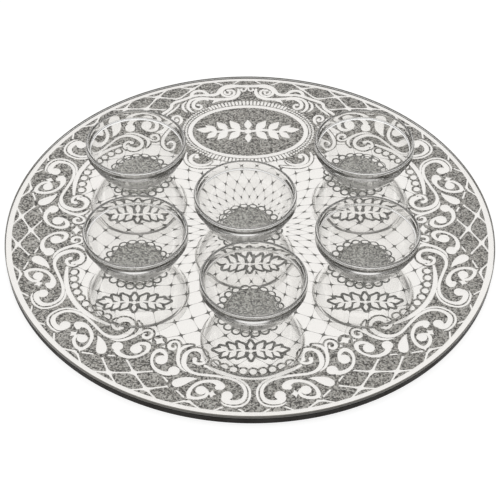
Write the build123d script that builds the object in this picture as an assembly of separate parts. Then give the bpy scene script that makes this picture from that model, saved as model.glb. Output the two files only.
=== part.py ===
from build123d import *

# Seder plate: a round printed mirror on a black board, with six loose pressed-glass bowls.
# Millimetres, +Z up. The origin is on the table under the middle of the plate, and -Y is the front.

import os
from math import cos, radians, sin, sqrt

# Plate: mirror glass glued onto a board
PLATE_DIAMETER = 400.0
GLASS_THICKNESS = 3.0
GLASS_EDGE_ROUND = 0.9
BOARD_THICKNESS = 6.0
BOARD_INSET = 0.5
BOARD_EDGE_BEVEL = 0.6

# Bumper feet under the board
FOOT_COUNT = 4
FOOT_DIAMETER = 16.0
FOOT_HEIGHT = 2.0
FOOT_EDGE_ROUND = 0.7
FOOT_EDGE_MARGIN = 42.0
FOOT_FIRST_ANGLE = 45.0

# Bowl: rim, collar and ledge
BOWL_DIAMETER = 83.2
BOWL_HEIGHT = 36.9
RIM_THICKNESS = 2.3
COLLAR_HEIGHT = 8.6
COLLAR_STEP = 2.2
LEDGE_RISE = 0.8
LEDGE_ROUND = 0.8

# Bowl: body, base and standing ring
BODY_BULGE = 3.6
WALL_THICKNESS = 2.4
BASE_THICKNESS = 4.6
STANDING_DIAMETER = 40.6
HEEL_HEIGHT = 1.6
HEEL_ROUND = 0.8
STANDING_RING_WIDTH = 3.6
BASE_RECESS = 0.6

# Seats: clear space from the middle bowl's rim to each outer rim, and the way it lies
FRONT_CLEARANCE = 10.2
SIDE_CLEARANCE = 17.0
REAR_CLEARANCE = 29.8
FRONT_ANGLE = -90.0
SIDE_ANGLE = -24.8
REAR_ANGLE = 35.0

# Loose bowls: how far right of its seat's middle, and how far behind it, each was set down
CENTRE_ASIDE, CENTRE_BEHIND = -4.2, 1.7
FRONT_ASIDE, FRONT_BEHIND = 0.9, 0.3
RIGHT_ASIDE, RIGHT_BEHIND = 0.7, 0.2
LEFT_ASIDE, LEFT_BEHIND = -0.2, 1.6
REAR_RIGHT_ASIDE, REAR_RIGHT_BEHIND = 3.4, 1.4
REAR_LEFT_ASIDE, REAR_LEFT_BEHIND = -1.8, 1.5

# The most of a thickness that one broken edge may take
EDGE_SHARE = 0.45

# Heights that follow from the stack
board_bottom = FOOT_HEIGHT
glass_bottom = board_bottom + BOARD_THICKNESS
plate_top = glass_bottom + GLASS_THICKNESS
board_radius = PLATE_DIAMETER / 2 - BOARD_INSET


def make_glass_plate():
    """Float-glass disc with a pencil-ground edge, silvered and printed on its back."""
    disc = extrude(Circle(PLATE_DIAMETER / 2), GLASS_THICKNESS)
    disc = fillet(disc.edges(), min(GLASS_EDGE_ROUND, EDGE_SHARE * GLASS_THICKNESS))
    return Pos(0, 0, glass_bottom) * disc


def make_backing_board():
    """Black-edged board, a little smaller than the glass, with its corners broken."""
    disc = extrude(Circle(board_radius), BOARD_THICKNESS)
    disc = chamfer(disc.edges(), min(BOARD_EDGE_BEVEL, EDGE_SHARE * BOARD_THICKNESS))
    return Pos(0, 0, board_bottom) * disc


def make_foot(index):
    """Stick-on bumper, rounded where it meets the table."""
    pad = extrude(Circle(FOOT_DIAMETER / 2), FOOT_HEIGHT)
    lower_edge = pad.edges().group_by(Axis.Z)[0]
    pad = fillet(lower_edge, min(FOOT_EDGE_ROUND, EDGE_SHARE * FOOT_HEIGHT))
    reach = board_radius - FOOT_EDGE_MARGIN
    angle = radians(FOOT_FIRST_ANGLE + index * 360 / FOOT_COUNT)
    return Pos(reach * cos(angle), reach * sin(angle), 0) * pad


def body_arc(low, high):
    """Radius and centre of the body's arc, which bows outward from the chord low to high."""
    chord_r = high[0] - low[0]
    chord_z = high[1] - low[1]
    chord = sqrt(chord_r**2 + chord_z**2)
    radius = (chord**2 / 4 + BODY_BULGE**2) / (2 * BODY_BULGE)
    setback = (radius - BODY_BULGE) / chord
    middle_r = (low[0] + high[0]) / 2
    middle_z = (low[1] + high[1]) / 2
    return radius, middle_r - setback * chord_z, middle_z + setback * chord_r


def make_bowl():
    """Pressed-glass bowl: half section turned about its axis, standing on z = 0."""
    rim_r = BOWL_DIAMETER / 2
    bead_r = RIM_THICKNESS / 2
    bead_z = BOWL_HEIGHT - bead_r
    mouth_r = rim_r - RIM_THICKNESS
    ledge_z = BOWL_HEIGHT - COLLAR_HEIGHT
    shoulder = (rim_r - COLLAR_STEP, ledge_z - LEDGE_RISE)
    standing_r = STANDING_DIAMETER / 2
    heel = (standing_r, HEEL_HEIGHT)
    ring_r = standing_r - HEEL_ROUND
    recess_r = ring_r - STANDING_RING_WIDTH

    # The inner wall is the body's arc moved in by the wall
    outer_arc_r, centre_r, centre_z = body_arc(heel, shoulder)
    inner_arc_r = outer_arc_r - WALL_THICKNESS

    def inside(height):
        return (centre_r + sqrt(inner_arc_r**2 - (height - centre_z) ** 2), height)

    with BuildPart() as bowl:
        with BuildSketch(Plane.XZ):
            with BuildLine():
                # Under the base: recess, standing ring and heel
                Line((0, BASE_RECESS), (recess_r - BASE_RECESS, BASE_RECESS))
                Line((recess_r - BASE_RECESS, BASE_RECESS), (recess_r, 0))
                Line((recess_r, 0), (ring_r, 0))
                RadiusArc((ring_r, 0), (standing_r, HEEL_ROUND), -HEEL_ROUND)
                Line((standing_r, HEEL_ROUND), heel)

                # Outside: bowed body, ledge and upright collar
                SagittaArc(heel, shoulder, -BODY_BULGE)
                Line(shoulder, (rim_r - LEDGE_ROUND, ledge_z))
                RadiusArc((rim_r - LEDGE_ROUND, ledge_z), (rim_r, ledge_z + LEDGE_ROUND), -LEDGE_ROUND)
                Line((rim_r, ledge_z + LEDGE_ROUND), (rim_r, bead_z))

                # Fire-polished rim, then down the inside to the floor
                ThreePointArc((rim_r, bead_z), (rim_r - bead_r, BOWL_HEIGHT), (mouth_r, bead_z))
                Line((mouth_r, bead_z), inside(shoulder[1]))
                RadiusArc(inside(shoulder[1]), inside(BASE_THICKNESS), inner_arc_r)
                Line(inside(BASE_THICKNESS), (0, BASE_THICKNESS))
                Line((0, BASE_THICKNESS), (0, BASE_RECESS))
            make_face()
        revolve(axis=Axis.Z)
    return bowl.part


def seat(clearance, angle):
    """Middle of a seat, this far clear of the middle bowl and in this direction."""
    reach = BOWL_DIAMETER + clearance
    return reach * cos(radians(angle)), reach * sin(radians(angle))


front_x, front_y = seat(FRONT_CLEARANCE, FRONT_ANGLE)
side_x, side_y = seat(SIDE_CLEARANCE, SIDE_ANGLE)
rear_x, rear_y = seat(REAR_CLEARANCE, REAR_ANGLE)
places = {
    "bowl_centre": (CENTRE_ASIDE, CENTRE_BEHIND),
    "bowl_front": (front_x + FRONT_ASIDE, front_y + FRONT_BEHIND),
    "bowl_right": (side_x + RIGHT_ASIDE, side_y + RIGHT_BEHIND),
    "bowl_left": (-side_x + LEFT_ASIDE, side_y + LEFT_BEHIND),
    "bowl_rear_right": (rear_x + REAR_RIGHT_ASIDE, rear_y + REAR_RIGHT_BEHIND),
    "bowl_rear_left": (-rear_x + REAR_LEFT_ASIDE, rear_y + REAR_LEFT_BEHIND),
}

pieces = {"glass_plate": make_glass_plate(), "backing_board": make_backing_board()}
for index in range(FOOT_COUNT):
    pieces[f"foot_{index + 1}"] = make_foot(index)
bowl = make_bowl()
for name, (x, y) in places.items():
    pieces[name] = Pos(x, y, plate_top) * bowl

os.makedirs("parts", exist_ok=True)
for name, solid in pieces.items():
    export_step(solid, f"parts/{name}.step")
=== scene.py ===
from math import atan2, cos, hypot, pi, radians, sin, sqrt

import bmesh
import bpy
import numpy as np
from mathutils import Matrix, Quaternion, Vector
from mathutils.geometry import delaunay_2d_cdt


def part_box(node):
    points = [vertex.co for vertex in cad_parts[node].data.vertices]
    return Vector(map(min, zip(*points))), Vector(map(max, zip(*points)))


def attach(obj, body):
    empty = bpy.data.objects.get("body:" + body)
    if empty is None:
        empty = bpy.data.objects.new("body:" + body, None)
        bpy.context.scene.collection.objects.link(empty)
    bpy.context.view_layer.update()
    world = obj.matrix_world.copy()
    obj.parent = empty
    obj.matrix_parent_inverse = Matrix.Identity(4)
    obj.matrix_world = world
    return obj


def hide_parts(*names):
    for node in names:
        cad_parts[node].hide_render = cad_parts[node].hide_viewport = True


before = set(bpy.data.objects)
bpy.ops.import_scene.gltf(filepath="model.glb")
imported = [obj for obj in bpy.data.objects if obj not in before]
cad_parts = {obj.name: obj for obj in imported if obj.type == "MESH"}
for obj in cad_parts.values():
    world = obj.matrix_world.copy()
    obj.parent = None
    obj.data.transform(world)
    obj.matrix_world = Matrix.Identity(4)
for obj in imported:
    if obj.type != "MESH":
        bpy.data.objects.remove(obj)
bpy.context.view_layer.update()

# Feet
# Four stick-on bumpers of dark moulded rubber, round, with a soft lower edge.
# They are pressed onto the underside of the board and lift the plate off the table.
MM = 0.001
FOOT_COUNT = 4
FOOT_EDGE_ROUND = 0.7 * MM
FOOT_EDGE_STEPS = 6
FOOT_SIDES = 48
FOOT_DISH = 0.25 * MM
FOOT_DISH_MARGIN = 3 * FOOT_EDGE_ROUND
FOOT_COLOUR = (0.022, 0.022, 0.023, 1)
FOOT_DUST_COLOUR = (0.060, 0.058, 0.055, 1)
MARKS_START = 0.16
MARKS_FULL = 0.42


def arc(centre, radius, start, end, steps):
    """Points of an arc in a half section, as (distance from the axis, height)."""
    turns = [radians(start + (end - start) * i / steps) for i in range(steps + 1)]
    return [(centre[0] + radius * cos(t), centre[1] + radius * sin(t)) for t in turns]


def turned(name, section, middle, sides, sharp=35):
    """Closed body turned about the upright line through middle, from a half section."""
    body = bmesh.new()
    rings = []
    for reach, height in section:
        turns = [2 * pi * i / sides for i in range(sides)] if reach > 0 else [0]
        rings.append([body.verts.new((reach * cos(t), reach * sin(t), height)) for t in turns])
    for low, high in zip(rings, rings[1:]):
        for i in range(sides):
            j = (i + 1) % sides
            corners = [low[i % len(low)], low[j % len(low)], high[j % len(high)], high[i % len(high)]]
            body.faces.new(list(dict.fromkeys(corners)))
    bmesh.ops.recalc_face_normals(body, faces=body.faces)
    mesh = bpy.data.meshes.new(name)
    body.to_mesh(mesh)
    body.free()
    mesh.shade_smooth()
    mesh.set_sharp_from_angle(angle=radians(sharp))
    piece = bpy.data.objects.new(name, mesh)
    piece.location = middle
    bpy.context.collection.objects.link(piece)
    return piece


def material(name):
    """New material with its node tree and its Principled shader."""
    made = bpy.data.materials.new(name)
    made.use_nodes = True
    tree = made.node_tree
    return made, tree, tree.nodes["Principled BSDF"]


def node(tree, kind, **values):
    """New node whose named inputs or settings take these values."""
    made = tree.nodes.new(kind)
    for key, value in values.items():
        if key in made.inputs:
            made.inputs[key].default_value = value
        else:
            setattr(made, key, value)
    return made


def handling_group():
    """Faint marks from handling: cloudy smudges over fine dust, as a roughness and a mask."""
    group = bpy.data.node_groups.new("handling_marks", "ShaderNodeTree")
    face = group.interface
    for label in ("Smudge Scale", "Dust Scale", "Clean", "Marked"):
        face.new_socket(label, in_out="INPUT", socket_type="NodeSocketFloat")
    for label in ("Roughness", "Mask"):
        face.new_socket(label, in_out="OUTPUT", socket_type="NodeSocketFloat")
    inside = group.nodes.new("NodeGroupInput")
    outside = group.nodes.new("NodeGroupOutput")
    place = group.nodes.new("ShaderNodeTexCoord")
    smudge = node(group, "ShaderNodeTexNoise", Detail=3.0, Roughness=0.55)
    dust = node(group, "ShaderNodeTexNoise", Detail=1.0, Roughness=0.5)
    both = node(group, "ShaderNodeMath", operation="MULTIPLY")
    level = group.nodes.new("ShaderNodeMapRange")
    level.inputs["From Min"].default_value = MARKS_START
    level.inputs["From Max"].default_value = MARKS_FULL
    rough = group.nodes.new("ShaderNodeMapRange")
    link = group.links.new
    for texture, label in ((smudge, "Smudge Scale"), (dust, "Dust Scale")):
        link(place.outputs["Object"], texture.inputs["Vector"])
        link(inside.outputs[label], texture.inputs["Scale"])
    link(smudge.outputs["Fac"], both.inputs[0])
    link(dust.outputs["Fac"], both.inputs[1])
    link(both.outputs["Value"], level.inputs["Value"])
    link(level.outputs["Result"], rough.inputs["Value"])
    link(inside.outputs["Clean"], rough.inputs["To Min"])
    link(inside.outputs["Marked"], rough.inputs["To Max"])
    link(rough.outputs["Result"], outside.inputs["Roughness"])
    link(level.outputs["Result"], outside.inputs["Mask"])
    return group


handling = handling_group()


def marks(tree, shader, smudge, dust, clean, marked):
    """Places the handling marks in a material and lets them set its roughness."""
    made = node(tree, "ShaderNodeGroup", node_tree=handling)
    made.inputs["Smudge Scale"].default_value = smudge
    made.inputs["Dust Scale"].default_value = dust
    made.inputs["Clean"].default_value = clean
    made.inputs["Marked"].default_value = marked
    tree.links.new(made.outputs["Roughness"], shader.inputs["Roughness"])
    return made


rubber, tree, shader = material("foot_rubber")
worn = marks(tree, shader, smudge=400.0, dust=4000.0, clean=0.55, marked=0.8)
dusty = node(tree, "ShaderNodeMix", data_type="RGBA")
dusty.inputs["A"].default_value = FOOT_COLOUR
dusty.inputs["B"].default_value = FOOT_DUST_COLOUR
tree.links.new(worn.outputs["Mask"], dusty.inputs["Factor"])
tree.links.new(dusty.outputs["Result"], shader.inputs["Base Color"])

for number in range(1, FOOT_COUNT + 1):
    low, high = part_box(f"foot_{number}")
    foot_radius = min(high.x - low.x, high.y - low.y) / 2
    foot_height = high.z - low.z
    section = [(0, FOOT_DISH), (foot_radius - FOOT_DISH_MARGIN, FOOT_DISH / 2)]
    edge_centre = (foot_radius - FOOT_EDGE_ROUND, FOOT_EDGE_ROUND)
    section += arc(edge_centre, FOOT_EDGE_ROUND, -90, 0, FOOT_EDGE_STEPS)
    section += [(foot_radius, foot_height), (0, foot_height)]
    middle = ((low.x + high.x) / 2, (low.y + high.y) / 2, low.z)
    foot = turned(f"bumper_foot_{number}", section, middle, FOOT_SIDES)
    foot.data.materials.append(rubber)
    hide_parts(f"foot_{number}")
    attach(foot, "plate")

# Backing board
# A disc of thin fibreboard, stained black all over, with its corners broken by sandpaper.
# It is cut a little smaller than the glass and glued to the back of it.
BOARD_BEVEL = 0.6 * MM
ROUND_SIDES = 288
BOARD_COLOUR = (0.0105, 0.0068, 0.0046, 1)
BOARD_FIBRE_COLOUR = (0.021, 0.015, 0.010, 1)
BOARD_WORN_COLOUR = (0.036, 0.031, 0.026, 1)
BOARD_WORN_SHARE = 0.35

low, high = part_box("backing_board")
board_radius = min(high.x - low.x, high.y - low.y) / 2
board_height = high.z - low.z
section = [
    (0, 0),
    (board_radius - BOARD_BEVEL, 0),
    (board_radius, BOARD_BEVEL),
    (board_radius, board_height - BOARD_BEVEL),
    (board_radius - BOARD_BEVEL, board_height),
    (0, board_height),
]
board = turned("black_backing_board", section, (0, 0, low.z), ROUND_SIDES)

stained, tree, shader = material("black_stained_board")
shader.inputs["Specular IOR Level"].default_value = 0.3
worn = marks(tree, shader, smudge=60.0, dust=1400.0, clean=0.5, marked=0.75)
place = tree.nodes.new("ShaderNodeTexCoord")
spread = node(tree, "ShaderNodeMapping", Scale=(1.0, 1.0, 6.0))
fibre = node(tree, "ShaderNodeTexNoise", Scale=900.0, Detail=4.0, Roughness=0.7)
fibre_colour = node(tree, "ShaderNodeMix", data_type="RGBA")
fibre_colour.inputs["A"].default_value = BOARD_COLOUR
fibre_colour.inputs["B"].default_value = BOARD_FIBRE_COLOUR
rubbed = node(tree, "ShaderNodeMix", data_type="RGBA")
rubbed.inputs["B"].default_value = BOARD_WORN_COLOUR
rubbed_share = node(tree, "ShaderNodeMath", operation="MULTIPLY")
rubbed_share.inputs[1].default_value = BOARD_WORN_SHARE
raised = node(tree, "ShaderNodeBump", Strength=0.25, Distance=0.2 * MM)
tree.links.new(place.outputs["Object"], spread.inputs["Vector"])
tree.links.new(spread.outputs["Vector"], fibre.inputs["Vector"])
tree.links.new(fibre.outputs["Fac"], fibre_colour.inputs["Factor"])
tree.links.new(fibre_colour.outputs["Result"], rubbed.inputs["A"])
tree.links.new(worn.outputs["Mask"], rubbed_share.inputs[0])
tree.links.new(rubbed_share.outputs["Value"], rubbed.inputs["Factor"])
tree.links.new(rubbed.outputs["Result"], shader.inputs["Base Color"])
tree.links.new(fibre.outputs["Fac"], raised.inputs["Height"])
tree.links.new(raised.outputs["Normal"], shader.inputs["Normal"])
board.data.materials.append(stained)
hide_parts("backing_board")
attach(board, "plate")

# Silvering
# The mirror coat on the back of the glass: a film of silver under a coat of paint.
# It covers the whole disc and shows wherever the print leaves it bare.
SILVER_LIFT = 0.02 * MM
SILVER_THICKNESS = 0.04 * MM
SILVER_INSET = 1.0 * MM
SILVER_COLOUR = (0.955, 0.937, 0.918, 1)

glass_low, glass_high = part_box("glass_plate")
glass_radius = min(glass_high.x - glass_low.x, glass_high.y - glass_low.y) / 2
silver_low = glass_low.z + SILVER_LIFT
silver_radius = glass_radius - SILVER_INSET
section = [(0, 0), (silver_radius, 0), (silver_radius, SILVER_THICKNESS), (0, SILVER_THICKNESS)]
silvering = turned("mirror_silvering", section, (0, 0, silver_low), ROUND_SIDES)

silver, tree, shader = material("mirror_silver")
shader.inputs["Base Color"].default_value = SILVER_COLOUR
shader.inputs["Metallic"].default_value = 1.0
marks(tree, shader, smudge=12.0, dust=300.0, clean=0.015, marked=0.05)
silvering.data.materials.append(silver)
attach(silvering, "plate")

# Glitter print
# Silver-grey glitter ink, screen-printed on the back of the glass ahead of the mirror coat.
# The ornament is left bare as mirror: scrolls, trellis and stars in the border, beads and sprigs inside.
PRINT_LIFT = 0.10 * MM
PRINT_THICKNESS = 0.03 * MM
FLAKE_SCALE = 900.0
FLAKE_LEAN = 0.7
FLAKE_TONES = (
    (0.0, (0.060, 0.054, 0.048, 1)),
    (0.45, (0.430, 0.408, 0.378, 1)),
    (0.78, (0.960, 0.928, 0.880, 1)),
    (1.0, (1.0, 0.98, 0.95, 1)),
)

# The drawing is in millimetres from the plate's middle, with turns in degrees
BORDER_INSIDE = 163.0
BORDER_OUTSIDE = 194.5
ORNAMENT_SCALE = 0.996
NET_SPOKES = 36
NET_TURN = 180 / NET_SPOKES
NET_RINGS = range(3, 17)
NET_RING = 9.96
NET_LINE = 0.09
NET_LINE_SPREAD = 0.0007
NET_KNOT = 1.3
NET_KNOT_LEAST = 0.25
NET_KNOT_SPREAD = 0.011
NET_FLARE = 4.0
FLARE_WAIST = 0.22
JOIN_WITHIN = 0.01
PARTED_BY = 0.02
FACING_UP = 0.5
HIDDEN_CORNER = 0.02
BARE, GLITTER, OUTLINE_AND_SHADE = 0, 1, 2
layers = []


def lay(outline, ink, cells=None):
    """Adds a closed shape on top of the drawing, in one of the inks or bare. Cells are its simple parts."""
    layers.append((outline, cells or [outline], ink))


def disc(x, y, radius, ink, sides=24):
    turns = [2 * pi * i / sides for i in range(sides)]
    lay([(x + radius * cos(t), y + radius * sin(t)) for t in turns], ink)


def between(before, start, end, after, share):
    """Point on the smooth curve from start to end, led by the points before and after."""
    square = share * share
    cube = square * share
    return tuple(
        (2 * b + (c - a) * share + (2 * a - 5 * b + 4 * c - d) * square + (3 * b - a - 3 * c + d) * cube) / 2
        for a, b, c, d in zip(before, start, end, after)
    )


def smooth_line(points, steps):
    """Smooth line through a few points, each given as x, y and half the stroke's width."""
    padded = [points[0], *points, points[-1]]
    line = []
    for i in range(len(points) - 1):
        line += [between(*padded[i:i + 4], step / steps) for step in range(steps)]
    return line + [tuple(points[-1])]


def stroke(points, ink, spread=0.0, steps=4):
    """Brush stroke whose width changes along a smooth line, widened on all sides by spread."""
    line = smooth_line(points, steps)
    sides = []
    for i, (x, y, half) in enumerate(line):
        ahead = line[min(i + 1, len(line) - 1)]
        behind = line[max(i - 1, 0)]
        along_x, along_y = ahead[0] - behind[0], ahead[1] - behind[1]
        length = hypot(along_x, along_y)
        reach = (half + spread) / length
        sides.append(((x - along_y * reach, y + along_x * reach), (x + along_y * reach, y - along_x * reach)))
    cells = [(a[0], a[1], b[1], b[0]) for a, b in zip(sides, sides[1:])]
    lay([left for left, right in sides] + [right for left, right in reversed(sides)], ink, cells)
    if spread:
        for x, y, half in (line[0], line[-1]):
            disc(x, y, half + spread, ink, sides=16)


def placed(shapes, turn, side):
    """Shapes of half a sector, turned about the plate's middle, and mirrored where side is -1."""
    c, s = ORNAMENT_SCALE * cos(radians(turn)), ORNAMENT_SCALE * sin(radians(turn))
    moved = []
    for points in shapes:
        moved.append([(side * x * c - y * s, side * x * s + y * c, half) for x, y, half in points])
    return moved


def net_node(ring, turn):
    """Knot of the net on a ring counted from the middle, at an angle in degrees."""
    reach = ring * NET_RING
    return reach * cos(radians(turn)), reach * sin(radians(turn))


def net_line(start, end, thin, knot, flare, ink):
    """Straight line between two knots, which flares into a pointed star at each of them."""
    (x1, y1), (x2, y2) = start, end
    share = flare / hypot(x2 - x1, y2 - y1)
    stops = ((0, knot), (share / 2, thin + (knot - thin) * FLARE_WAIST), (share, thin))
    stops += tuple((1 - at, half) for at, half in reversed(stops))
    stroke([(x1 + (x2 - x1) * at, y1 + (y2 - y1) * at, half) for at, half in stops], ink, steps=1)


# Border field and mirror field
disc(0, 0, BORDER_OUTSIDE, GLITTER, ROUND_SIDES)
disc(0, 0, BORDER_INSIDE, BARE, ROUND_SIDES)

# Fine net on the mirror, its knots squeezed towards the middle
for ring in NET_RINGS:
    knot = min(NET_KNOT, NET_KNOT_LEAST + NET_KNOT_SPREAD * ring * NET_RING)
    thin = min(NET_LINE, NET_LINE_SPREAD * ring * NET_RING)
    for step in range(NET_SPOKES):
        turn = 2 * NET_TURN * step + (NET_TURN if ring % 2 else 0)
        for way in (-NET_TURN, NET_TURN):
            net_line(net_node(ring, turn), net_node(ring + 1, turn + way), thin, knot, NET_FLARE, OUTLINE_AND_SHADE)

# One half of a border sector: scrolls, with the round heads that end them
S_SCROLL = [
    (-21.2, -180.5, 3.2), (-20.6, -183.6, 2.8), (-17.2, -185.5, 2.2), (-12.6, -185.5, 2.1),
    (-8.6, -183.6, 1.9), (-6.5, -179.6, 1.5), (-6.1, -175.0, 1.3), (-7.3, -170.6, 1.3),
    (-10.2, -166.6, 1.3), (-14.6, -163.6, 1.3), (-20.0, -161.4, 1.2), (-27.0, -159.9, 1.2),
    (-34.0, -158.8, 1.2), (-41.0, -157.8, 1.2), (-46.5, -155.6, 1.4), (-50.5, -151.8, 1.7),
    (-52.4, -147.0, 1.9), (-52.2, -141.5, 2.0), (-50.6, -136.8, 1.8), (-47.2, -133.6, 1.4),
    (-42.8, -132.9, 1.7), (-38.9, -134.7, 2.2), (-37.0, -138.2, 2.5), (-37.4, -141.8, 2.3),
]
S_CURL = [
    (-44.0, -142.6, 1.6), (-44.4, -145.2, 1.4), (-42.0, -147.1, 1.3), (-38.6, -147.0, 1.3),
    (-35.8, -145.0, 1.1), (-34.4, -142.0, 0.6),
]
CURL_LINE = [
    (-24.4, -185.4, 0.3), (-21.2, -188.2, 0.8), (-15.5, -189.7, 0.9), (-10.0, -189.2, 0.9),
    (-5.6, -186.4, 0.9), (-3.2, -181.6, 0.9), (-2.7, -176.0, 0.9), (-3.7, -171.2, 0.9),
    (-6.1, -167.2, 0.9), (-9.4, -164.2, 0.8), (-13.0, -162.2, 0.4),
]
VOLUTE_LINE = [
    (-50.6, -155.4, 0.3), (-54.6, -151.2, 1.0), (-56.6, -146.0, 1.3), (-57.0, -140.0, 1.4),
    (-56.0, -134.6, 1.4), (-53.2, -130.6, 1.4), (-49.4, -128.8, 1.1), (-45.4, -128.2, 0.3),
]
HOOK = [
    (-57.4, -137.0, 0.5), (-56.5, -131.5, 1.0), (-56.2, -127.6, 1.0), (-58.0, -124.7, 1.1),
    (-61.2, -124.6, 1.1), (-63.8, -127.4, 1.3), (-63.6, -130.7, 1.5), (-61.0, -132.3, 1.3),
    (-58.9, -130.6, 0.9), (-59.4, -128.4, 0.5),
]
SMALL_SCROLL = [
    (-36.2, -173.2, 1.6), (-34.4, -176.0, 1.3), (-36.2, -179.4, 1.4), (-40.4, -181.2, 1.4),
    (-45.2, -181.2, 1.5), (-48.4, -179.2, 1.6), (-48.2, -175.0, 1.5), (-46.0, -170.8, 1.4),
    (-42.0, -167.0, 1.4), (-37.0, -165.0, 1.4), (-31.6, -164.7, 1.6), (-27.2, -166.3, 2.5),
    (-24.4, -169.2, 3.0),
]
SMALL_SPUR = [(-47.0, -180.0, 1.6), (-50.4, -181.7, 0.3)]
TEARDROP = [
    (-42.3, -162.3, 0.3), (-46.0, -162.4, 1.6), (-50.5, -163.6, 3.2), (-55.0, -165.4, 4.1),
    (-58.0, -166.9, 3.8),
]
C_SCROLL = [
    (-66.8, -144.0, 1.8), (-65.9, -140.0, 1.3), (-67.0, -136.0, 1.6), (-70.4, -133.3, 1.9),
    (-74.4, -135.2, 1.6), (-76.6, -139.8, 1.2), (-76.8, -145.0, 1.1), (-75.3, -150.0, 1.3),
    (-72.0, -154.0, 1.6), (-67.0, -156.6, 1.9), (-62.4, -156.6, 2.4),
]
FRAME_BAND = [
    (0.0, -161.6, 2.0), (-10.0, -160.7, 2.0), (-20.0, -158.0, 1.9), (-29.0, -153.8, 1.6),
    (-37.2, -148.8, 1.0),
]
HALF_SECTOR = [
    S_SCROLL, S_CURL, CURL_LINE, VOLUTE_LINE, HOOK, SMALL_SCROLL, SMALL_SPUR, TEARDROP, C_SCROLL,
]
HEADS = [[
    (-19.8, -178.9, 4.2), (-38.3, -143.2, 1.9), (-44.2, -142.6, 1.9), (-39.2, -173.7, 4.2),
    (-24.6, -170.0, 3.4), (-26.8, -171.2, 2.2), (-57.2, -166.6, 3.9), (-69.6, -143.1, 4.6),
    (-59.9, -154.2, 4.4),
]]
BORDER_FILL = [[
    (0.0, -158.0, 0), (-12.0, -157.0, 0), (-24.0, -153.5, 0), (-33.0, -148.5, 0), (-33.2, -141.5, 0),
    (-36.2, -133.6, 0), (-43.0, -130.0, 0), (-50.0, -128.0, 0), (-56.0, -126.5, 0), (-60.0, -128.0, 0),
    (-64.0, -132.5, 0), (-68.5, -130.6, 0), (-73.5, -127.3, 0), (-87.5, -151.6, 0), (-60.0, -164.4, 0),
    (-30.0, -172.4, 0), (0.0, -175.0, 0),
]]
SECTOR_AXES = (0, 60, -60, 120, -120)
LATTICE = (
    (18, 0, 17, 5), (18, 0, 19, 5), (19, 5, 20, 0), (19, 5, 20, 10), (19, 5, 18, 10), (18, 10, 17, 5),
    (18, 10, 19, 15), (19, 15, 20, 10), (19, 15, 20, 20), (18.8, 24.6, 20, 19.6), (18.8, 24.6, 20, 29.6),
)
TRELLIS_LINE = 0.7
TRELLIS_KNOT = 2.1
TRELLIS_FLARE = 6.0
TRELLIS_AXES = range(0, 360, 60)
FRONT_TRELLIS_AXIS = -120
LITTLE_STAR = (18, 20)
LITTLE_STAR_SIZE = (3.8, 3.2)
INNER_STAR_REACH = 142.2
INNER_STAR_SIZE = (4.0, 5.2)
INNER_STAR_FIELD = 6.0
INNER_STAR_AXES = (0, 180, 240, 300)
STAR_WAIST = 0.55
HALO = 1.6
TEARDROP_HALO = 3.0
CHAIN_MIDDLE = -103.5
CHAIN_RADIUS = 52.0
CHAIN_PITCH = 8.3
CHAIN_STEPS = range(-4, 5)
CHAIN_BEAD = 2.75
CHAIN_HALO = 4.4
FRAME_HALO = 1.2


def star(x, y, turn, size, ink):
    """Star of four points with hollow sides, whose first axis lies at this turn."""
    c, s = cos(radians(turn)), sin(radians(turn))
    corners = []
    for step in range(8):
        share = STAR_WAIST if step % 2 else 1.0
        along, across = size[0] * share * cos(pi * step / 4), size[1] * share * sin(pi * step / 4)
        corners.append((x + along * c - across * s, y + along * s + across * c))
    lay(corners, ink)


halves = [(axis, side) for axis in SECTOR_AXES for side in (1, -1)]
for axis, side in halves:
    lay([(x, y) for x, y, half in placed(BORDER_FILL, axis, side)[0]], GLITTER)

# Trellis left bare in the border, on all six trellis axes
for axis in TRELLIS_AXES:
    for side in (1, -1):
        for ring, turn, next_ring, next_turn in LATTICE:
            start = net_node(ring, axis + side * turn)
            end = net_node(next_ring, axis + side * next_turn)
            net_line(start, end, TRELLIS_LINE, TRELLIS_KNOT, TRELLIS_FLARE, BARE)

for axis, side in halves:
    for points in placed(HALF_SECTOR, axis, side):
        stroke(points, GLITTER, HALO)
    stroke(placed([TEARDROP], axis, side)[0], GLITTER, TEARDROP_HALO)
    for x, y, radius in placed(HEADS, axis, side)[0]:
        disc(x, y, radius + HALO, GLITTER)

# Stars between the sectors, on the mirror side of the border
for turn in INNER_STAR_AXES:
    x, y = INNER_STAR_REACH * cos(radians(turn)), INNER_STAR_REACH * sin(radians(turn))
    disc(x, y, INNER_STAR_FIELD, GLITTER)
    star(x, y, turn, INNER_STAR_SIZE, BARE)

# Bead chains that close each sector towards the middle
for axis in SECTOR_AXES:
    beads = []
    for step in CHAIN_STEPS:
        turn = radians(-90 + step * CHAIN_PITCH)
        beads.append((CHAIN_RADIUS * cos(turn), CHAIN_MIDDLE + CHAIN_RADIUS * sin(turn), 0))
    beads = placed([beads], axis, 1)[0]
    for x, y, half in beads:
        disc(x, y, CHAIN_HALO, GLITTER)
    for x, y, half in beads:
        disc(x, y, CHAIN_BEAD, BARE)

for axis, side in halves:
    for points in placed([FRAME_BAND], axis, side):
        stroke(points, GLITTER, FRAME_HALO)
for axis, side in halves:
    for points in placed([FRAME_BAND] + HALF_SECTOR, axis, side):
        stroke(points, BARE)
    for x, y, radius in placed(HEADS, axis, side)[0]:
        disc(x, y, radius, BARE)
    ring, turn = LITTLE_STAR
    turn = FRONT_TRELLIS_AXIS + axis + side * turn
    star(*net_node(ring, turn), turn, LITTLE_STAR_SIZE, BARE)

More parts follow.
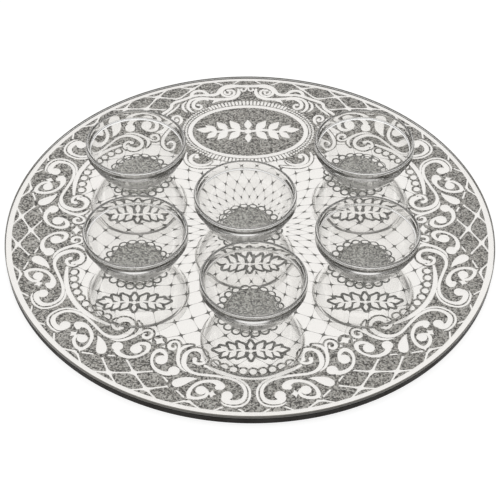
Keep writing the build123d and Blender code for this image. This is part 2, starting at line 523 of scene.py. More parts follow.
# Cartouche at the back: an oval field in a bare ring, a roped ring and a scrolled frame
CARTOUCHE_Y = 124.2
OVAL = (48.6, 32.2)
OVAL_RING = (52.4, 35.8)
ROPE = (58.6, 42.6)
CARTOUCHE_FILL = [
    (0, 81), (-14, 82.5), (-26, 86), (-32, 86.6), (-40, 81), (-47, 82), (-52, 88), (-56, 92), (-62, 93),
    (-67, 96.5), (-73, 102), (-76, 110), (-75, 117), (-70, 125), (-63, 131.5), (-66, 137), (-69, 141),
    (-78, 145), (-70, 158), (-60, 168), (-51, 174), (-45, 183.6), (-33, 176), (-27, 186), (-14, 191),
    (0, 190),
]
TOP_SHOULDER = [
    (0, 187.6, 1.8), (-8, 187.9, 1.8), (-14, 188.6, 1.9), (-19.5, 187.2, 1.9), (-23.8, 183.6, 1.8),
    (-25.6, 179.4, 1.8), (-27.4, 176.6, 1.9), (-30.6, 175.2, 2.0), (-36, 174.8, 1.6), (-44, 174.8, 1.4),
    (-51, 172.4, 1.5), (-58, 168.2, 1.6), (-64, 165.2, 1.6), (-67.6, 161.6, 1.5), (-67.8, 158, 1.4),
    (-70, 154.4, 1.5), (-73.8, 150.4, 1.5), (-76.8, 147, 1.0),
]
SMALL_ARCH = [
    (-50.2, 172.6, 1.4), (-49.6, 177.2, 1.6), (-46.8, 180.2, 1.6), (-43, 181.2, 1.6), (-39.2, 180, 1.6),
    (-36.4, 177.2, 1.5), (-34, 175, 1.2),
]
LOWER_BAND = [
    (-8.2, 184.2, 0.8), (-7.6, 179.5, 1.5), (-9.2, 174.4, 1.8), (-13.4, 170.8, 1.9), (-19, 169.3, 1.8),
    (-26, 169, 1.8), (-33, 169.8, 1.6), (-40, 170.9, 1.4), (-46.4, 170, 1.3), (-51, 166.8, 1.4),
    (-53, 162, 1.4), (-52.8, 157, 1.4), (-50, 152.4, 1.1), (-47, 151, 0.5),
]
OUTER_LEAF = [
    (-54.4, 166, 0.5), (-57, 162.6, 1.0), (-57.8, 158.6, 1.2), (-56.4, 154.4, 1.1), (-53.4, 151, 0.5),
]
SHOULDER_LINE = [
    (-60.8, 162.4, 0.5), (-62.6, 158.4, 1.0), (-66, 153.6, 1.0), (-70, 149.2, 0.9), (-72.2, 146, 0.5),
]
LARGE_CURL = [
    (-10.8, 186.1, 0.6), (-16.5, 185.8, 1.1), (-21.3, 183.4, 1.2), (-23.2, 179.2, 1.3), (-21.6, 174.9, 1.3),
    (-17.5, 173, 1.2), (-13.3, 174.6, 1.2), (-11.6, 178.4, 1.2), (-13.4, 181.8, 1.1), (-16.4, 181.9, 1.0),
]
LARGE_CURL_HOOK = [(-20.2, 180.6, 0.9), (-20, 177.2, 1.1), (-17, 175.9, 1.0), (-15.3, 178, 1.0)]
TWIN_CURL = [
    (-0.8, 186.6, 0.6), (-1.2, 182.8, 0.8), (-3.4, 180.8, 0.9), (-5.6, 182.6, 0.9), (-4.2, 184.4, 0.8),
]
BAND_CURL = [
    (-34.6, 167.2, 0.5), (-37.6, 168.8, 1.0), (-42.4, 168.9, 1.4), (-46.4, 166.2, 1.6), (-48.4, 161.8, 1.6),
    (-47.4, 157.2, 1.5), (-43.8, 155.2, 1.3), (-41.2, 157.4, 1.1), (-41.6, 160.4, 1.0), (-43.6, 161.6, 0.9),
]
BAND_FLAME = [(-25, 167.6, 1.0), (-29, 166.4, 1.4), (-31.4, 163.2, 0.3)]
SIDE_CURL = [
    (-60.8, 134, 0.6), (-58.9, 138, 1.3), (-58.8, 142, 1.3), (-61, 145.6, 1.2), (-64.6, 145.6, 1.2),
    (-66.6, 142.6, 1.2), (-65.4, 139.2, 1.1), (-62.4, 138.6, 1.0), (-61.4, 140.8, 0.9),
]
SIDE_SCROLL = [
    (-61, 131, 0.8), (-67, 126, 1.3), (-72, 118, 1.5), (-73.6, 110, 1.6), (-71.4, 103, 1.6),
    (-66.6, 99.6, 1.5), (-62.4, 102.4, 1.3), (-62, 107.6, 1.2), (-65.2, 110.8, 1.1), (-68.4, 109.4, 1.0),
    (-68.6, 106.6, 1.0),
]
FRONT_CURL = [
    (-43.2, 93.4, 0.8), (-46.8, 94, 1.2), (-49.8, 90.4, 1.6), (-49.4, 85.2, 1.7), (-45.6, 81.2, 1.7),
    (-40, 80, 1.5), (-34.6, 81.8, 1.1), (-31.6, 85, 0.5),
]
FRONT_LINE = [
    (-53.2, 97, 0.7), (-54.6, 91, 1.2), (-53.2, 84.4, 1.3), (-49, 79.4, 1.4), (-42, 77, 1.3),
    (-34, 77.6, 1.2), (-27, 78.8, 0.7),
]
CARTOUCHE_SCROLLS = [
    TOP_SHOULDER, SMALL_ARCH, LOWER_BAND, OUTER_LEAF, SHOULDER_LINE, LARGE_CURL, LARGE_CURL_HOOK, TWIN_CURL,
    BAND_CURL, BAND_FLAME, SIDE_CURL, SIDE_SCROLL, FRONT_CURL, FRONT_LINE,
]
CARTOUCHE_HEADS = [
    (-17.4, 180.9, 1.5), (-15.6, 178.6, 1.3), (-44, 160.4, 1.5), (-62.6, 140.6, 1.3), (-44.4, 90.6, 2.1),
]
CARTOUCHE_HALO = 1.0
OVAL_SIDES = 96
ROPE_COUNT = 108
ROPE_SPLIT = 0.62
ROPE_STRAND = ((0.1, 0.85), (0.5, 1.1), (0.9, 0.85))
ROPE_BEAD = 1.0
ROPE_BEAD_SHARES = (0.28, 0.72)


def oval(size, ink):
    turns = [2 * pi * i / OVAL_SIDES for i in range(OVAL_SIDES)]
    lay([(size[0] * cos(t), CARTOUCHE_Y + size[1] * sin(t)) for t in turns], ink)


def on_rope(share, turn):
    """Point of the roped ring, this share of the way from its inner to its outer edge."""
    along, across = [inner + share * (outer - inner) for inner, outer in zip(OVAL_RING, ROPE)]
    return along * cos(turn), CARTOUCHE_Y + across * sin(turn)


for side in (1, -1):
    lay([(side * x, y) for x, y in CARTOUCHE_FILL], GLITTER)
    for points in placed(CARTOUCHE_SCROLLS, 0, side):
        stroke(points, GLITTER, CARTOUCHE_HALO)
for side in (1, -1):
    for points in placed(CARTOUCHE_SCROLLS, 0, side):
        stroke(points, BARE)
    for x, y, radius in CARTOUCHE_HEADS:
        disc(side * x, y, radius, BARE, sides=16)
oval(ROPE, GLITTER)
for step in range(ROPE_COUNT):
    turn = 2 * pi * step / ROPE_COUNT
    if abs(cos(turn)) < ROPE_SPLIT:
        stroke([(*on_rope(share, turn), half) for share, half in ROPE_STRAND], BARE, steps=2)
    else:
        for share in ROPE_BEAD_SHARES:
            disc(*on_rope(share, turn), ROPE_BEAD, BARE, sides=8)
oval(OVAL_RING, BARE)
oval(OVAL, GLITTER)

# Leaf sprigs: one in the oval field and one in front of each bowl's seat
SPRIG_STEM = [(2.0, 0.2, 1.0), (9.0, 1.2, 1.0), (16.0, -0.4, 0.9), (21.0, 0.8, 0.6)]
SPRIG_LEAVES = (
    (0, 2.0, 90, 8.2), (0, -2.0, -90, 7.4), (4.6, 1.0, 56, 10.0), (4.6, 0.4, -50, 9.6), (11.6, 1.0, 50, 9.4),
    (11.6, 0.2, -52, 9.2), (17.6, 0.0, 40, 8.4), (17.6, -0.4, -44, 8.0), (20.6, 0.8, 6, 8.6),
)
LEAF_WIDTH = 0.25
LEAF_STOPS = (0, 0.3, 0.55, 1)
LEAF_ROOT = 0.3
LEAF_HEEL = 0.85
LEAF_TIP = 0.15
SPRIG_HEART = 2.0
SPRIG_HALO = 2.3
OVAL_SPRIG_SCALE = 1.55
SEAT_SPRIG_SCALE = 0.96


def sprig(x, y, scale, halo):
    """Symmetrical leaf sprig, bare, on a halo of the darker ink where one is given."""
    shapes = [SPRIG_STEM]
    for root_x, root_y, turn, length in SPRIG_LEAVES:
        c, s = cos(radians(turn)) * length, sin(radians(turn)) * length
        wide = LEAF_WIDTH * length
        widths = (LEAF_ROOT, LEAF_HEEL * wide, wide, LEAF_TIP)
        shapes.append([(root_x + at * c, root_y + at * s, half) for at, half in zip(LEAF_STOPS, widths)])
    inks = ((OUTLINE_AND_SHADE, halo), (BARE, 0.0)) if halo else ((BARE, 0.0),)
    for ink, spread in inks:
        for side in (1, -1):
            for points in shapes:
                moved = [(x + side * scale * a, y + scale * b, scale * half) for a, b, half in points]
                stroke(moved, ink, spread)
        disc(x, y, SPRIG_HEART * scale + spread, ink, sides=20)


sprig(0, CARTOUCHE_Y, OVAL_SPRIG_SCALE, 0)

# Seats: a glitter disc in a ring of beads under each bowl
SEATS = (
    (-1.0, 2.4, -42.2), (-1.4, -91.7, -42.2), (89.3, -40.6, -42.2), (-92.0, -40.3, -42.2),
    (91.1, 66.6, -47.4), (-92.6, 65.8, -47.4),
)
SEAT_RADIUS = 21.0
SEAT_BEADS = 20
SEAT_RING = 24.2
SEAT_BEAD = 2.6
# Halo round each seat bead, laid in the dark outline ink as painted shade under the bowl
SEAT_BEAD_HALO_AND_SHADE = 4.1
for x, y, sprig_drop in SEATS:
    turns = [2 * pi * (i + 0.5) / SEAT_BEADS for i in range(SEAT_BEADS)]
    for t in turns:
        # These dark halos are painted shade of the bowl's heel round the bare beads
        disc(x + SEAT_RING * cos(t), y + SEAT_RING * sin(t), SEAT_BEAD_HALO_AND_SHADE, OUTLINE_AND_SHADE)
    for t in turns:
        disc(x + SEAT_RING * cos(t), y + SEAT_RING * sin(t), SEAT_BEAD, BARE)
    disc(x, y, SEAT_RADIUS, GLITTER, sides=72)
    sprig(x, y + sprig_drop, SEAT_SPRIG_SCALE, SPRIG_HALO)


def still_inked(spots, layers):
    """For each spot, whether ink is what shows there when every layer is laid on the ones before."""
    by_x = np.argsort(spots[:, 0])
    along_x = spots[by_x, 0]
    inked = np.zeros(len(spots), bool)
    for outline, cells, ink in layers:
        for cell in cells:
            corners = np.array(cell)
            first, last = np.searchsorted(along_x, (corners[:, 0].min(), corners[:, 0].max()))
            near = by_x[first:last]
            level = spots[near, 1]
            near = near[(level > corners[:, 1].min()) & (level < corners[:, 1].max())]
            x, y = spots[near].T
            inside = np.zeros(len(near), bool)
            for (x1, y1), (x2, y2) in zip(corners, np.roll(corners, -1, 0)):
                if y1 != y2:
                    crossed = (y1 > y) != (y2 > y)
                    inside ^= crossed & (x < x1 + (x2 - x1) * (y - y1) / (y2 - y1))
            inked[near[inside]] = ink
    return inked


def inked_triangles(points, edges, layers):
    """Corners and inked triangles of the flat drawing that these edges divide."""
    flat = delaunay_2d_cdt(points, edges, [], 0, JOIN_WITHIN, False)
    at = np.array([tuple(corner) for corner in flat[0]])
    triangles = np.array(flat[2])
    return at, triangles[still_inked(at[triangles].mean(1), layers)]


def outer_edges(triangles):
    """Edges that have ink on one side only, in the order of their triangles."""
    sides = {(a, b) for face in triangles for a, b in zip(face, face[1:] + face[:1])}
    return sorted(side for side in sides if side[::-1] not in sides)


def parted(at, triangles):
    """Draws apart the patches of ink that meet in a single point."""
    at = at.tolist()
    around = {}
    for number, face in enumerate(triangles):
        for corner in face:
            around.setdefault(corner, []).append(number)
    starts, times = np.unique([start for start, end in outer_edges(triangles)], return_counts=True)
    for corner in starts[times > 1].tolist():
        x, y = at[corner]
        left = list(around[corner])
        while left:
            patch = [left.pop()]
            for number in patch:
                beside = set(triangles[number]) - {corner}
                joined = [other for other in left if beside & set(triangles[other])]
                patch += joined
                left = [other for other in left if other not in joined]
            middle = np.mean([at[i] for number in patch for i in triangles[number]], 0)
            away = hypot(middle[0] - x, middle[1] - y)
            at.append([x + PARTED_BY * (middle[0] - x) / away, y + PARTED_BY * (middle[1] - y) / away])
            for number in patch:
                triangles[number] = [len(at) - 1 if i == corner else i for i in triangles[number]]
    return np.array(at), triangles


def printed_film(name, layers, low, high):
    """Closed film of the ink that shows."""
    points, edges = [], []
    for outline, cells, ink in layers:
        count = len(points)
        edges += [(count + i, count + (i + 1) % len(outline)) for i in range(len(outline))]
        points += [Vector(corner) for corner in outline]
    at, top = inked_triangles(points, edges, layers)

    # Only the lines between ink and bare mirror are kept, and the ink is filled in again between them
    edges = outer_edges(top.tolist())
    used, ends = np.unique(np.array(edges), return_inverse=True)
    points = [Vector(at[i]) for i in used]
    at, top = inked_triangles(points, ends.reshape(-1, 2).tolist(), layers)
    at, top = parted(at, top.tolist())
    used, top = np.unique(np.array(top), return_inverse=True)
    top = top.reshape(-1, 3).tolist()
    count = len(used)
    corners = [(*at[i] * MM, level) for level in (high, low) for i in used]
    faces = top + [[i + count for i in reversed(face)] for face in top]
    faces += [[b, a, a + count, b + count] for a, b in outer_edges(top)]
    mesh = bpy.data.meshes.new(name)
    mesh.from_pydata(corners, [], faces)
    mesh.validate()
    return mesh


def lay_film(name, ink_layers, lift, ink):
    """Film of one ink, this far above the back of the glass."""
    low = glass_low.z + lift
    film = printed_film(name, ink_layers, low, low + PRINT_THICKNESS)
    laid = bpy.data.objects.new(name, film)
    bpy.context.collection.objects.link(laid)

    # The map spreads the film's face over one square, with its hidden sides kept in a corner
    flat_map = film.uv_layers.new(name="OFBake")
    spots = [0.0] * (2 * len(film.loops))
    for face in film.polygons:
        for loop in face.loop_indices:
            corner = film.vertices[film.loops[loop].vertex_index].co
            if face.normal.z > FACING_UP:
                spots[2 * loop] = 0.5 + corner.x / (2 * glass_radius)
                spots[2 * loop + 1] = 0.5 + corner.y / (2 * glass_radius)
            else:
                spots[2 * loop] = HIDDEN_CORNER + HIDDEN_CORNER * corner.x / glass_radius
                spots[2 * loop + 1] = HIDDEN_CORNER + HIDDEN_CORNER * corner.y / glass_radius
    flat_map.data.foreach_set("uv", spots)
    film.materials.append(ink)
    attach(laid, "plate")


def flake_group():
    """Glitter flakes: a tone and a colour for each, drawn from its own place in the film."""
    group = bpy.data.node_groups.new("glitter_flakes", "ShaderNodeTree")
    face = group.interface
    face.new_socket("Flake Scale", in_out="INPUT", socket_type="NodeSocketFloat")
    face.new_socket("Tone", in_out="OUTPUT", socket_type="NodeSocketFloat")
    face.new_socket("Colour", in_out="OUTPUT", socket_type="NodeSocketColor")
    inside = group.nodes.new("NodeGroupInput")
    outside = group.nodes.new("NodeGroupOutput")
    place = group.nodes.new("ShaderNodeTexCoord")
    cells = node(group, "ShaderNodeTexVoronoi", voronoi_dimensions="2D")
    split = group.nodes.new("ShaderNodeSeparateColor")
    link = group.links.new
    link(place.outputs["Object"], cells.inputs["Vector"])
    link(inside.outputs["Flake Scale"], cells.inputs["Scale"])
    link(cells.outputs["Color"], split.inputs["Color"])
    link(split.outputs["Red"], outside.inputs["Tone"])
    link(cells.outputs["Color"], outside.inputs["Colour"])
    return group


flake_nodes = flake_group()


def flakes_in(tree):
    """Places the glitter flakes in a material."""
    made = node(tree, "ShaderNodeGroup", node_tree=flake_nodes)
    made.inputs["Flake Scale"].default_value = FLAKE_SCALE
    return made


# Each flake has a tone of its own and lies a little askew in the ink
glitter, tree, shader = material("glitter_ink")
flakes = flakes_in(tree)
tone = tree.nodes.new("ShaderNodeValToRGB")
stops = tone.color_ramp.elements
stops[0].color = FLAKE_TONES[0][1]
stops[1].color = FLAKE_TONES[-1][1]
for spot, colour in FLAKE_TONES[1:-1]:
    stops.new(spot).color = colour
tilt = node(tree, "ShaderNodeVectorMath", operation="SUBTRACT")
tilt.inputs[1].default_value = (0.5, 0.5, 0.5)
lean = node(tree, "ShaderNodeVectorMath", operation="SCALE", Scale=FLAKE_LEAN)
face_up = tree.nodes.new("ShaderNodeNewGeometry")
turned_flake = node(tree, "ShaderNodeVectorMath", operation="ADD")
unit = node(tree, "ShaderNodeVectorMath", operation="NORMALIZE")
tree.links.new(flakes.outputs["Tone"], tone.inputs["Fac"])
tree.links.new(tone.outputs["Color"], shader.inputs["Base Color"])
tree.links.new(flakes.outputs["Colour"], tilt.inputs[0])
tree.links.new(tilt.outputs["Vector"], lean.inputs[0])
tree.links.new(lean.outputs["Vector"], turned_flake.inputs[0])
tree.links.new(face_up.outputs["Normal"], turned_flake.inputs[1])
tree.links.new(turned_flake.outputs["Vector"], unit.inputs[0])
tree.links.new(unit.outputs["Vector"], shader.inputs["Normal"])
shader.inputs["Metallic"].default_value = 0.55
shader.inputs["Roughness"].default_value = 0.38
glitter_layers = [(outline, cells, ink != BARE) for outline, cells, ink in layers]
lay_film("glitter_print", glitter_layers, PRINT_LIFT, glitter)

# Outline print, partly painted shade
# A darker ink with fewer flakes, for the net and the outlines of beads and sprigs on the mirror.
# Round the seat beads under the bowls its darkness is painted shade, where the bowls' heels darken the print.
# It is printed on the glass ahead of the glitter, so it shows in front of it.
OUTLINE_AND_SHADE_LIFT = 0.14 * MM
# Dark tone of the net and outlines, and painted shade round the seat beads under the bowls
OUTLINE_AND_SHADE_COLOUR = (0.080, 0.076, 0.070, 1)
OUTLINE_AND_SHADE_FLAKE_COLOUR = (0.320, 0.306, 0.286, 1)

outline_and_shade_ink, tree, shader = material("outline_and_shade_ink")
flakes = flakes_in(tree)
tone = node(tree, "ShaderNodeMix", data_type="RGBA")
tone.inputs["A"].default_value = OUTLINE_AND_SHADE_COLOUR
tone.inputs["B"].default_value = OUTLINE_AND_SHADE_FLAKE_COLOUR
tree.links.new(flakes.outputs["Tone"], tone.inputs["Factor"])
tree.links.new(tone.outputs["Result"], shader.inputs["Base Color"])
shader.inputs["Roughness"].default_value = 0.5
outline_and_shade_layers = [(outline, cells, ink == OUTLINE_AND_SHADE) for outline, cells, ink in layers]
lay_film("outline_and_shade_print", outline_and_shade_layers, OUTLINE_AND_SHADE_LIFT, outline_and_shade_ink)

# Glass plate
# A disc of 3 mm float glass with a pencil-ground edge, which stays matt and grey.
# The mirror coat and the print are on its back, and the board is glued behind them.
GLASS_EDGE_ROUND = 0.9 * MM
GLASS_EDGE_STEPS = 6
FLAT_MARGIN = 0.25 * MM
FLAT_FACING = 0.99
GLASS_COLOUR = (0.985, 0.992, 0.988, 1)
GLASS_SHADE_COLOUR = (0.95, 0.96, 0.955, 1)
GLASS_IOR = 1.52
GLASS_DUST = 500.0
EDGE_COLOUR = (0.350, 0.335, 0.305, 1)
EDGE_CHIP_COLOUR = (0.600, 0.580, 0.540, 1)


def clear_glass(name, colour, clean, marked, smudge):
    """Clear glass that lets the lamps' light through to what lies behind it."""
    made, tree, shader = material(name)
    shader.inputs["Base Color"].default_value = colour
    shader.inputs["Transmission Weight"].default_value = 1.0
    shader.inputs["IOR"].default_value = GLASS_IOR
    marks(tree, shader, smudge, GLASS_DUST, clean, marked)
    rays = tree.nodes.new("ShaderNodeLightPath")
    light = node(tree, "ShaderNodeMath", operation="MAXIMUM")
    through = node(tree, "ShaderNodeBsdfTransparent", Color=GLASS_SHADE_COLOUR)
    either = tree.nodes.new("ShaderNodeMixShader")
    tree.links.new(rays.outputs["Is Shadow Ray"], light.inputs[0])
    tree.links.new(rays.outputs["Is Diffuse Ray"], light.inputs[1])
    tree.links.new(light.outputs["Value"], either.inputs["Fac"])
    tree.links.new(shader.outputs["BSDF"], either.inputs[1])
    tree.links.new(through.outputs["BSDF"], either.inputs[2])
    tree.links.new(either.outputs["Shader"], tree.nodes["Material Output"].inputs["Surface"])
    return made, tree, shader


glass_height = glass_high.z - glass_low.z
edge_middle = glass_radius - GLASS_EDGE_ROUND
flat_end = edge_middle - FLAT_MARGIN
section = [(0, 0), (flat_end, 0)]
section += arc((edge_middle, GLASS_EDGE_ROUND), GLASS_EDGE_ROUND, -90, 0, GLASS_EDGE_STEPS)
upper_centre = (edge_middle, glass_height - GLASS_EDGE_ROUND)
section += arc(upper_centre, GLASS_EDGE_ROUND, 0, 90, GLASS_EDGE_STEPS)
section += [(flat_end, glass_height), (0, glass_height)]
pane = turned("mirror_glass_plate", section, (0, 0, glass_low.z), ROUND_SIDES, sharp=60)

plate_glass, tree, shader = clear_glass("plate_glass", GLASS_COLOUR, clean=0.0, marked=0.0, smudge=15.0)
ground, tree, shader = material("ground_glass_edge")
chips = node(tree, "ShaderNodeTexNoise", Scale=700.0, Detail=4.0, Roughness=0.75)
place = tree.nodes.new("ShaderNodeTexCoord")
edge_tone = node(tree, "ShaderNodeMix", data_type="RGBA")
edge_tone.inputs["A"].default_value = EDGE_COLOUR
edge_tone.inputs["B"].default_value = EDGE_CHIP_COLOUR
ground_grain = node(tree, "ShaderNodeBump", Strength=0.2, Distance=0.1 * MM)
tree.links.new(place.outputs["Object"], chips.inputs["Vector"])
tree.links.new(chips.outputs["Fac"], edge_tone.inputs["Factor"])
tree.links.new(edge_tone.outputs["Result"], shader.inputs["Base Color"])
tree.links.new(chips.outputs["Fac"], ground_grain.inputs["Height"])
tree.links.new(ground_grain.outputs["Normal"], shader.inputs["Normal"])
marks(tree, shader, smudge=40.0, dust=2500.0, clean=0.28, marked=0.5)
pane.data.materials.append(plate_glass)
pane.data.materials.append(ground)
for face in pane.data.polygons:
    outer = max(hypot(*pane.data.vertices[i].co.xy) for i in face.vertices)
    flat = abs(face.normal.z) > FLAT_FACING
    if outer > edge_middle and not flat:
        face.material_index = 1
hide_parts("glass_plate")
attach(pane, "plate")

# Bowls
# Six small bowls of clear pressed glass, all alike, with a thick base and a fire-polished rim.
# An upright collar steps out from the bowed body. They stand loose on their seats.
BOWLS = ("bowl_centre", "bowl_front", "bowl_right", "bowl_left", "bowl_rear_right", "bowl_rear_left")
BOWL_SIDES = 160
BOWL_STAND_GAP = 0.03 * MM
RIM_THICKNESS = 2.3 * MM
COLLAR_HEIGHT = 8.6 * MM
COLLAR_STEP = 2.2 * MM
LEDGE_RISE = 0.8 * MM
LEDGE_ROUND = 0.8 * MM
BODY_BULGE = 3.6 * MM
WALL_THICKNESS = 2.4 * MM
BASE_THICKNESS = 4.6 * MM
STANDING_RADIUS = 20.3 * MM
HEEL_HEIGHT = 1.6 * MM
HEEL_ROUND = 0.8 * MM
STANDING_RING_WIDTH = 3.6 * MM
BASE_RECESS = 0.6 * MM
FLOOR_CORNER = 1.2 * MM
MOUTH_LEAN = 0.16
MEET_HEIGHT = 14.0 * MM
HEEL_START = -75
HOLLOW_STEPS = 6
HEEL_STEPS = 5
BODY_STEPS = 22
LEDGE_STEPS = 5
RIM_STEPS = 12
MOUTH_STEPS = 12
INSIDE_STEPS = 20
CORNER_STEPS = 6
BOWL_GLASS_COLOUR = (0.993, 0.991, 0.984, 1)


def bowl_section(rim, height):
    """Half section of a bowl, from the middle of its foot round to the middle of its floor."""
    bead = RIM_THICKNESS / 2
    bead_height = height - bead
    ledge = height - COLLAR_HEIGHT
    shoulder_r, shoulder_z = rim - COLLAR_STEP, ledge - LEDGE_RISE
    chord_r, chord_z = shoulder_r - STANDING_RADIUS, shoulder_z - HEEL_HEIGHT
    chord = hypot(chord_r, chord_z)
    body_radius = (chord * chord / 4 + BODY_BULGE * BODY_BULGE) / (2 * BODY_BULGE)
    setback = (body_radius - BODY_BULGE) / chord
    body_r = (shoulder_r + STANDING_RADIUS) / 2 - setback * chord_z
    body_z = (shoulder_z + HEEL_HEIGHT) / 2 + setback * chord_r
    inner_radius = body_radius - WALL_THICKNESS

    def turn_at(reach, level):
        return atan2(level - body_z, reach - body_r) * 180 / pi

    def inside(level):
        return body_r + sqrt(inner_radius * inner_radius - (level - body_z) ** 2)

    ring = STANDING_RADIUS - HEEL_ROUND
    recess = ring - STANDING_RING_WIDTH
    hollow_shares = [i / HOLLOW_STEPS for i in range(HOLLOW_STEPS)]
    section = [(recess * share, BASE_RECESS * (1 - share * share)) for share in hollow_shares]
    section += [(recess, BOWL_STAND_GAP), (ring - FLAT_MARGIN, BOWL_STAND_GAP), (ring, BOWL_STAND_GAP)]
    section += arc((ring, HEEL_ROUND), HEEL_ROUND, HEEL_START, 0, HEEL_STEPS)
    start, end = turn_at(STANDING_RADIUS, HEEL_HEIGHT), turn_at(shoulder_r, shoulder_z)
    section += arc((body_r, body_z), body_radius, start, end, BODY_STEPS)
    section += arc((rim - LEDGE_ROUND, ledge + LEDGE_ROUND), LEDGE_ROUND, -90, 0, LEDGE_STEPS)
    section += [(rim, ledge + LEDGE_ROUND + FLAT_MARGIN), (rim, bead_height - FLAT_MARGIN)]
    section += arc((rim - bead, bead_height), bead, 0, 180, RIM_STEPS)

    # Down the inside, the wall leans in gently from the rim until it runs along the body
    mouth = rim - RIM_THICKNESS
    meet_r = inside(MEET_HEIGHT)
    lead = (bead_height - MEET_HEIGHT) / 3
    lead_r = meet_r - lead * (MEET_HEIGHT - body_z) / inner_radius
    lead_z = MEET_HEIGHT + lead * (meet_r - body_r) / inner_radius
    leads_r = (mouth, mouth - MOUTH_LEAN * lead, lead_r, meet_r)
    leads_z = (bead_height, bead_height - lead, lead_z, MEET_HEIGHT)
    for step in range(1, MOUTH_STEPS):
        share = step / MOUTH_STEPS
        rest = 1 - share
        weights = (rest**3, 3 * rest * rest * share, 3 * rest * share * share, share**3)
        reach = sum(weight * at for weight, at in zip(weights, leads_r))
        section.append((reach, sum(weight * at for weight, at in zip(weights, leads_z))))
    corner_z = BASE_THICKNESS + FLOOR_CORNER / 2
    start, end = turn_at(meet_r, MEET_HEIGHT), turn_at(inside(corner_z), corner_z)
    section += arc((body_r, body_z), inner_radius, start, end, INSIDE_STEPS)

    # The floor runs into the wall in a soft curve
    wall_r = inside(corner_z)
    corner_r = inside(BASE_THICKNESS)
    floor_r = corner_r - FLOOR_CORNER
    for step in range(1, CORNER_STEPS + 1):
        share = step / CORNER_STEPS
        rest = 1 - share
        reach = rest * rest * wall_r + 2 * rest * share * corner_r + share * share * floor_r
        level = rest * rest * corner_z + (1 - rest * rest) * BASE_THICKNESS
        section.append((reach, level))
    return section + [(floor_r - FLAT_MARGIN, BASE_THICKNESS), (0, BASE_THICKNESS)]


bowl_glass, tree, shader = clear_glass(
    "pressed_bowl_glass", BOWL_GLASS_COLOUR, clean=0.0, marked=0.02, smudge=60.0
)
place = tree.nodes.new("ShaderNodeTexCoord")
waves = node(tree, "ShaderNodeTexNoise", Scale=55.0, Detail=1.0, Roughness=0.4)
pressed = node(tree, "ShaderNodeBump", Strength=0.12, Distance=0.6 * MM)
tree.links.new(place.outputs["Object"], waves.inputs["Vector"])
tree.links.new(waves.outputs["Fac"], pressed.inputs["Height"])
tree.links.new(pressed.outputs["Normal"], shader.inputs["Normal"])

for name in BOWLS:
    low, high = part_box(name)
    rim = min(high.x - low.x, high.y - low.y) / 2
    section = bowl_section(rim, high.z - low.z)
    middle = ((low.x + high.x) / 2, (low.y + high.y) / 2, low.z)
    bowl = turned(f"glass_{name}", section, middle, BOWL_SIDES, sharp=30)
    bowl.data.materials.append(bowl_glass)
    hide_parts(name)
    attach(bowl, name)

# Floor
# A plain white table top under the feet, which keeps the plate's soft shadow.
# It is lifted to white where it is seen, also in the mirror and through the glass.
FLOOR_SIZE = 3.0
FLOOR_COLOUR = (0.30, 0.30, 0.30, 1)
FLOOR_LIFT = 0.88

floor_mesh = bpy.data.meshes.new("floor")
corners = [(x * FLOOR_SIZE, y * FLOOR_SIZE, 0) for x, y in ((-1, -1), (1, -1), (1, 1), (-1, 1))]
floor_mesh.from_pydata(corners, [], [(0, 1, 2, 3)])
floor = bpy.data.objects.new("floor", floor_mesh)
bpy.context.collection.objects.link(floor)
white, tree, shader = material("white_table")
shader.inputs["Base Color"].default_value = FLOOR_COLOUR
shader.inputs["Roughness"].default_value = 0.9
shader.inputs["Specular IOR Level"].default_value = 0.0
shader.inputs["Emission Color"].default_value = (1, 1, 1, 1)
rays = tree.nodes.new("ShaderNodeLightPath")
seen = node(tree, "ShaderNodeMath", operation="MAXIMUM")
seen_too = node(tree, "ShaderNodeMath", operation="MAXIMUM")
lifted = node(tree, "ShaderNodeMath", operation="MULTIPLY")
lifted.inputs[1].default_value = FLOOR_LIFT
tree.links.new(rays.outputs["Is Camera Ray"], seen.inputs[0])
tree.links.new(rays.outputs["Is Glossy Ray"], seen.inputs[1])
tree.links.new(seen.outputs["Value"], seen_too.inputs[0])
tree.links.new(rays.outputs["Is Transmission Ray"], seen_too.inputs[1])
tree.links.new(seen_too.outputs["Value"], lifted.inputs[0])
tree.links.new(lifted.outputs["Value"], shader.inputs["Emission Strength"])
floor_mesh.materials.append(white)

# Light
# A large soft box overhead and a smaller one at the left.
# The room is pale behind the plate, where the mirror looks, has a dim ceiling and is dark elsewhere.
SOFT_BOXES = (
    ("overhead_soft_box", (0.2, 0.1, 1.9), 1.6, 14.0),
    ("left_soft_box", (-1.6, -0.5, 1.3), 0.9, 5.0),
)
ROOM_BRIGHT = (1.0, 0.99, 0.98, 1)
ROOM_DARK = (0.050, 0.048, 0.043, 1)
ROOM_FACING = (0.0, 0.84, 0.543)
ROOM_LEVEL = 0.95
ROOM_FADE = (0.76, 0.93)
CEILING_LEVEL = 0.34
CEILING_FADE = (0.72, 0.95)

for name, spot, size, power in SOFT_BOXES:
    lamp = bpy.data.lights.new(name, "AREA")
    lamp.shape = "DISK"
    lamp.size = size
    lamp.energy = power
    held = bpy.data.objects.new(name, lamp)
    held.location = spot
    held.rotation_mode = "QUATERNION"
    held.rotation_quaternion = (-Vector(spot)).to_track_quat("-Z", "Y")
    held.visible_glossy = False
    held.visible_transmission = False
    bpy.context.collection.objects.link(held)

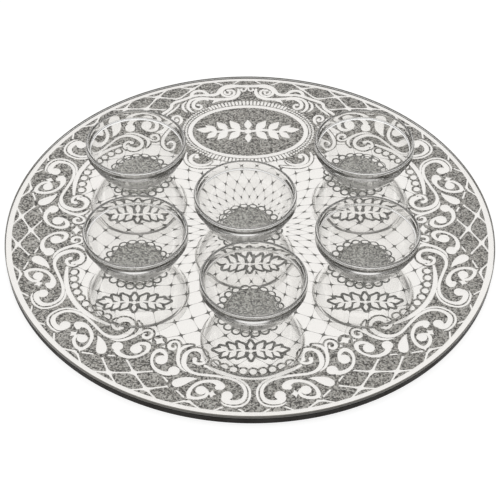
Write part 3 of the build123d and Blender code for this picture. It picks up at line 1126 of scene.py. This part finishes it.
room = bpy.data.worlds.new("pale_room")
bpy.context.scene.world = room
room.use_nodes = True
tree = room.node_tree
sky = tree.nodes["Background"]
place = tree.nodes.new("ShaderNodeTexCoord")
facing = node(tree, "ShaderNodeVectorMath", operation="DOT_PRODUCT")
facing.inputs[1].default_value = ROOM_FACING
fade = node(tree, "ShaderNodeMapRange", interpolation_type="SMOOTHSTEP")
fade.inputs["From Min"].default_value = ROOM_FADE[0]
fade.inputs["From Max"].default_value = ROOM_FADE[1]
heights = tree.nodes.new("ShaderNodeSeparateXYZ")
ceiling = node(tree, "ShaderNodeMapRange", interpolation_type="SMOOTHSTEP")
ceiling.inputs["From Min"].default_value = CEILING_FADE[0]
ceiling.inputs["From Max"].default_value = CEILING_FADE[1]
ceiling.inputs["To Max"].default_value = CEILING_LEVEL
brightest = node(tree, "ShaderNodeMath", operation="MAXIMUM")
room_tone = node(tree, "ShaderNodeMix", data_type="RGBA")
room_tone.inputs["A"].default_value = ROOM_DARK
room_tone.inputs["B"].default_value = ROOM_BRIGHT
background = tree.nodes.new("ShaderNodeBackground")
background.inputs["Color"].default_value = (1, 1, 1, 1)
sky.inputs["Strength"].default_value = ROOM_LEVEL
rays = tree.nodes.new("ShaderNodeLightPath")
either = tree.nodes.new("ShaderNodeMixShader")
tree.links.new(place.outputs["Generated"], facing.inputs[0])
tree.links.new(facing.outputs["Value"], fade.inputs["Value"])
tree.links.new(place.outputs["Generated"], heights.inputs["Vector"])
tree.links.new(heights.outputs["Z"], ceiling.inputs["Value"])
tree.links.new(fade.outputs["Result"], brightest.inputs[0])
tree.links.new(ceiling.outputs["Result"], brightest.inputs[1])
tree.links.new(brightest.outputs["Value"], room_tone.inputs["Factor"])
tree.links.new(room_tone.outputs["Result"], sky.inputs["Color"])
tree.links.new(rays.outputs["Is Camera Ray"], either.inputs["Fac"])
tree.links.new(sky.outputs["Background"], either.inputs[1])
tree.links.new(background.outputs["Background"], either.inputs[2])
tree.links.new(either.outputs["Shader"], tree.nodes["World Output"].inputs["Surface"])

# Camera
# Looks down on the plate from the front at 44 degrees, with a long lens and a slight roll.
# Light is followed through many passes, because the bowls and the mirror send it to and fro.
EYE = Vector((-0.0234, -0.9753, 0.9401))
AIM = Vector((-0.00050, -0.0252, 0.0107))
ROLL = 0.80
LENS = 118.4
SENSOR = 36.0
GLASS_PASSES = 96
CLEAR_PASSES = 32

lens = bpy.data.cameras.new("camera")
lens.lens = LENS
lens.sensor_width = SENSOR
camera = bpy.data.objects.new("camera", lens)
camera.location = EYE
camera.rotation_mode = "QUATERNION"
camera.rotation_quaternion = (AIM - EYE).to_track_quat("-Z", "Y") @ Quaternion((0, 0, 1), radians(ROLL))
bpy.context.collection.objects.link(camera)
scene = bpy.context.scene
scene.camera = camera
scene.view_settings.view_transform = "Standard"
scene.cycles.max_bounces = GLASS_PASSES
scene.cycles.transmission_bounces = GLASS_PASSES
scene.cycles.glossy_bounces = GLASS_PASSES
scene.cycles.transparent_max_bounces = CLEAR_PASSES
